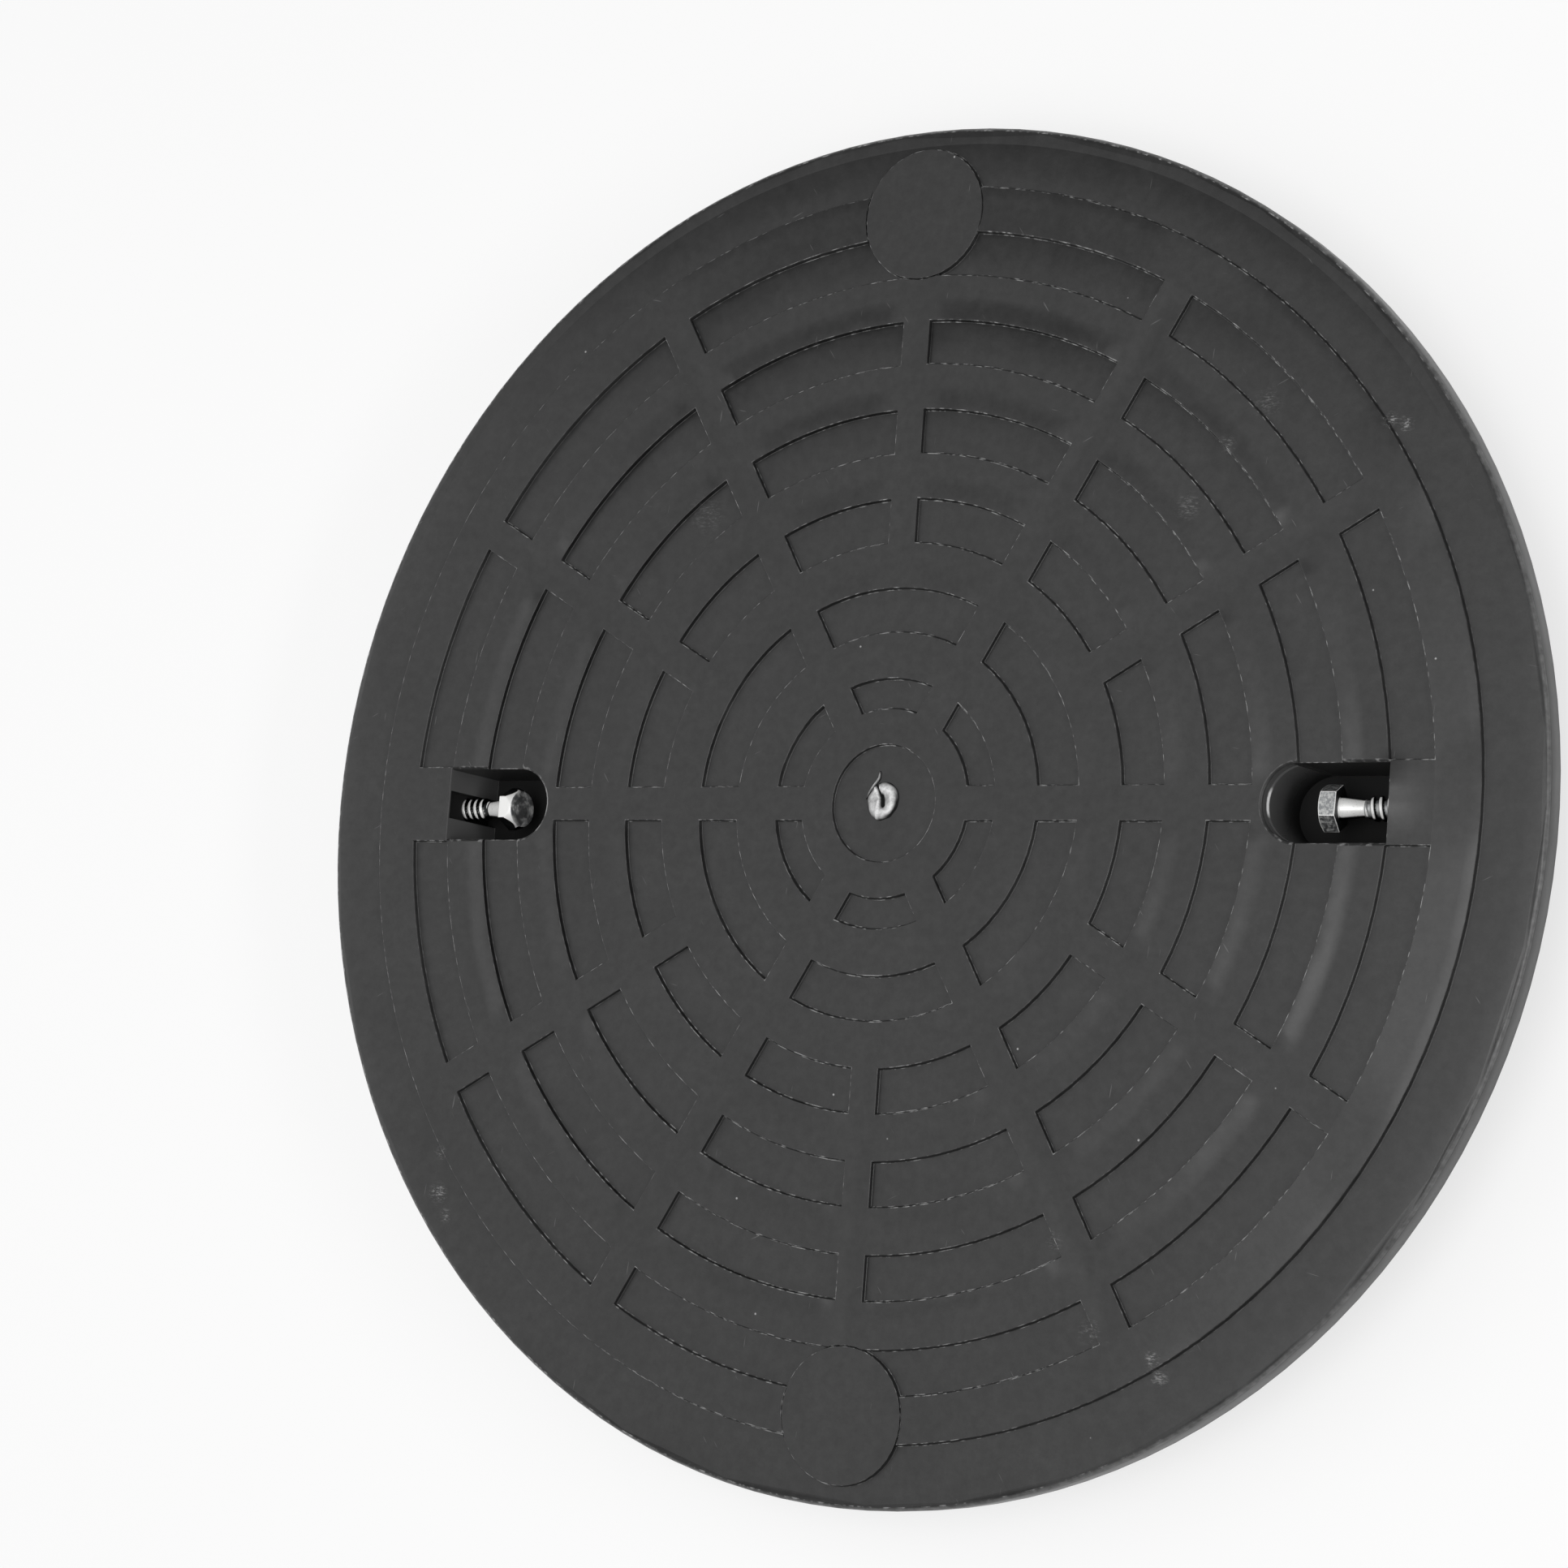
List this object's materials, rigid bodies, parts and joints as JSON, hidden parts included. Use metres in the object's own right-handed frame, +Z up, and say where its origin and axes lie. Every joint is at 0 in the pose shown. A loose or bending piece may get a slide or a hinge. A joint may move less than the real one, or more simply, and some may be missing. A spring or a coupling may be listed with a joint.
{
  "type": "manhole cover",
  "caption": "Round black plastic manhole cover with a grid of recessed cells, deep screw pockets, a ribbed underside with a spigot, and hexagon head lock screws.",
  "frame": {"origin": "centre of the box's base, on the floor under the spigot's lower edge", "axes": "+Z up out of the face, +X toward the right screw pocket, +Y toward the plain round pad at the top of the picture"},
  "size_m": [0.45, 0.45, 0.0403],
  "materials": {
    "black_plastic": "moulded black polyethylene, satin, with fine scuffs",
    "zinc_steel": "bright zinc plating on cold-formed steel"
  },
  "bodies": {
    "cover_body": {"cover": "black_plastic"},
    "screw_right_body": {"screw_right": "zinc_steel"},
    "screw_left_body": {"screw_left": "zinc_steel"}
  },
  "joints": [
    {"name": "right_screw_travel", "type": "slide", "parent": "cover_body", "child": "screw_right_body", "axis": [0.9962, 0, -0.0872], "range_m": [-0.004, 0.02]},
    {"name": "left_screw_travel", "type": "slide", "parent": "cover_body", "child": "screw_left_body", "axis": [-0.9962, 0, -0.0872], "range_m": [-0.008, 0.0155]}
  ]
}
